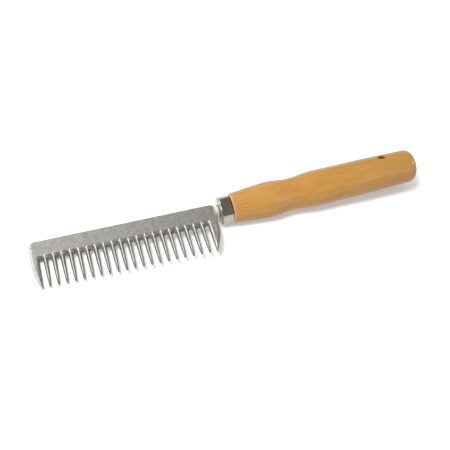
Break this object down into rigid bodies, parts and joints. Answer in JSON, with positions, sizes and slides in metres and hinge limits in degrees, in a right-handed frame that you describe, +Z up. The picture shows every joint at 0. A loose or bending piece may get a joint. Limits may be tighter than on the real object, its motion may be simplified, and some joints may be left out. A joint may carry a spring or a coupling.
{
  "type": "grooming comb",
  "caption": "Coarse cast-metal grooming comb with a beaded neck, a plated ferrule and a turned wooden handle with a hanging hole.",
  "frame": {"origin": "centre of the bounding box's bottom face, the surface that the comb lies on", "axes": "+Z up from that surface, +X along the handle from the comb to the butt, +Y from the tooth tips to the spine"},
  "size_m": [0.2162, 0.0358, 0.0239],
  "materials": {
    "cast_aluminium": "as-cast, tumbled, satin with fine grain",
    "plated_ferrule": "bright nickel plate over pressed steel",
    "lacquered_wood": "turned hardwood under clear satin lacquer, honey colour",
    "set_adhesive": "set two-part resin, hidden inside the handle"
  },
  "bodies": {
    "root": {"comb_head": "cast_aluminium", "ferrule": "plated_ferrule", "handle": "lacquered_wood", "tang_adhesive": "set_adhesive"}
  },
  "joints": []
}
